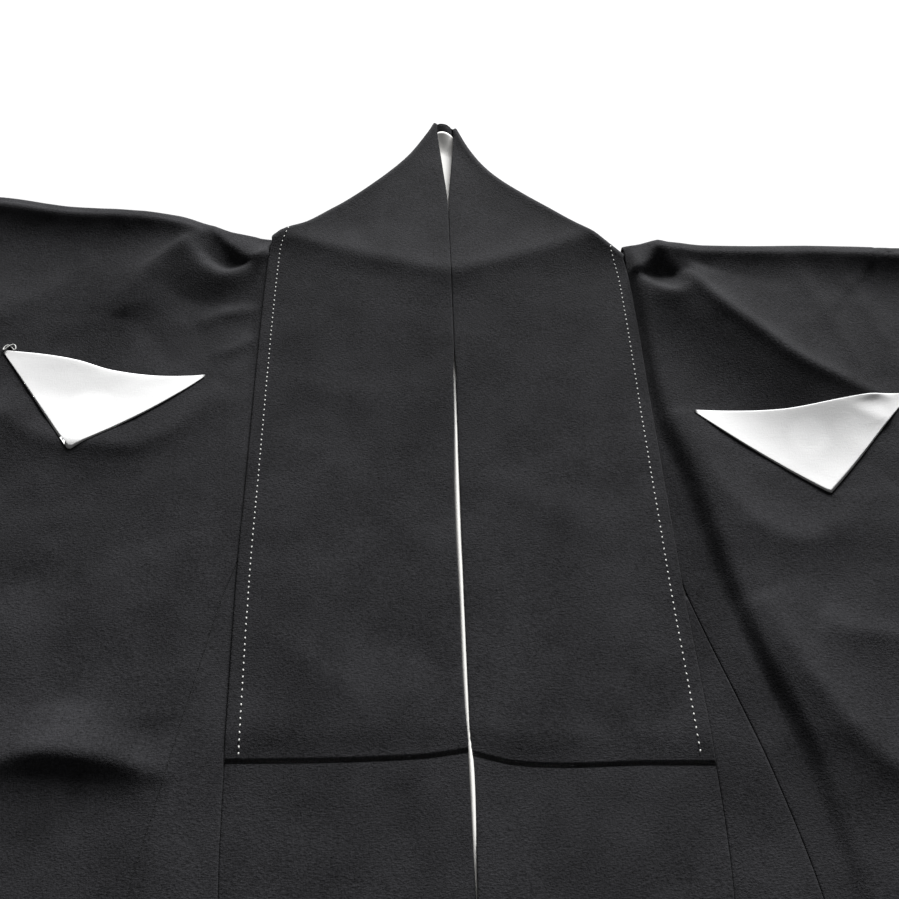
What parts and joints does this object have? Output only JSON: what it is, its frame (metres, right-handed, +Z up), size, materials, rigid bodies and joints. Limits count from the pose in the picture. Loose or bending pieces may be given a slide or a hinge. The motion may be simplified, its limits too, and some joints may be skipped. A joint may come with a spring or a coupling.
{
  "type": "kimono, laid flat",
  "caption": "Plain black formal kimono laid flat with its front up, its wide collar opened out and paper covers basted over the blank breast crests.",
  "frame": {"origin": "centre of the garment's box, on the surface it lies on", "axes": "+X to the wearer's left, +Y up the garment towards the neck, +Z up, out of its front"},
  "size_m": [1.3008, 1.7086, 0.014],
  "materials": {
    "black_crepe": "fine matt silk crepe, charcoal black",
    "white_silk": "smooth off-white lining silk",
    "white_paper": "thin fibrous white paper, folded double",
    "white_thread": "soft white basting thread"
  },
  "bodies": {
    "root": {"body_left": "black_crepe", "body_right": "black_crepe", "sleeve_left": "black_crepe", "sleeve_right": "black_crepe", "okumi_left": "black_crepe", "okumi_right": "black_crepe", "collar": "black_crepe", "over_collar": "black_crepe", "collar_lining": "white_silk", "back_lining": "white_silk", "crest_cover_left": "white_paper", "crest_cover_right": "white_paper"}
  },
  "joints": []
}
